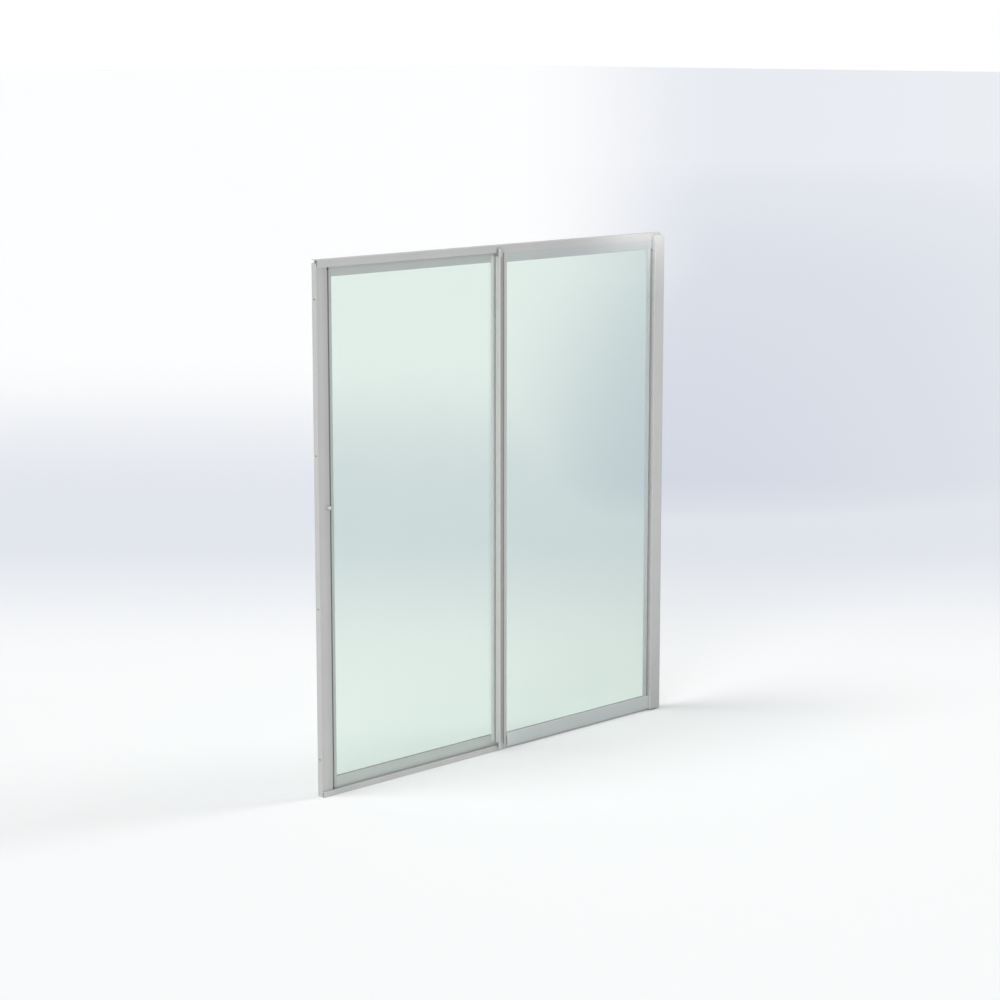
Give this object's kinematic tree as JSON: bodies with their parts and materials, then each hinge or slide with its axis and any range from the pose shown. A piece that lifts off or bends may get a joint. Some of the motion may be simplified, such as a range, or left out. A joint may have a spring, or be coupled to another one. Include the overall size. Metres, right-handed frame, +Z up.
{
  "type": "glass sliding patio door",
  "caption": "Glazed sliding door in an aluminium frame; one panel slides on floor rollers behind a fixed panel with a raised meeting post.",
  "frame": {"origin": "middle of the sill's underside", "axes": "+X along the door from the lock jamb to the fixed jamb, +Y from the weather side to the room side, +Z up"},
  "size_m": [1.95, 0.0525, 2.1],
  "materials": {
    "frame_aluminium": "satin anodised",
    "fixed_light_aluminium": "satin anodised",
    "post_aluminium": "satin anodised",
    "panel_aluminium": "satin anodised",
    "clear_glass": "clear polished float glass",
    "cap_plastic": "moulded",
    "glazing_rubber": "matt",
    "pile_seal": "woven pile",
    "stop_rubber": "matt",
    "knob_metal": "fine turned",
    "nylon": "moulded",
    "roller_steel": "zinc plated"
  },
  "bodies": {
    "frame": {"header": "frame_aluminium", "sill": "frame_aluminium", "left_jamb": "frame_aluminium", "right_jamb": "frame_aluminium", "right_jamb_cover": "frame_aluminium", "meeting_post": "post_aluminium", "post_top_cap": "cap_plastic", "post_bottom_cap": "cap_plastic", "fixed_top_rail": "fixed_light_aluminium", "fixed_bottom_rail": "fixed_light_aluminium", "fixed_right_stile": "fixed_light_aluminium", "fixed_glass": "clear_glass", "fixed_glazing_gaskets": "glazing_rubber", "header_weather_seal": "pile_seal", "sill_weather_seal": "pile_seal", "post_weather_seal": "pile_seal", "lock_knob": "knob_metal", "open_stop": "stop_rubber"},
    "sliding_panel": {"sliding_lock_stile": "panel_aluminium", "sliding_meeting_stile": "panel_aluminium", "sliding_top_rail": "panel_aluminium", "sliding_bottom_rail": "panel_aluminium", "sliding_glass": "clear_glass", "sliding_glazing_gaskets": "glazing_rubber", "left_roller_wheel": "nylon", "left_roller_housing": "roller_steel", "left_roller_axle": "roller_steel", "left_guide_shoe": "nylon", "right_roller_wheel": "nylon", "right_roller_housing": "roller_steel", "right_roller_axle": "roller_steel", "right_guide_shoe": "nylon"}
  },
  "joints": [
    {"name": "panel_slide", "type": "slide", "parent": "frame", "child": "sliding_panel", "axis": [1, 0, 0], "range_m": [0, 0.9]}
  ]
}
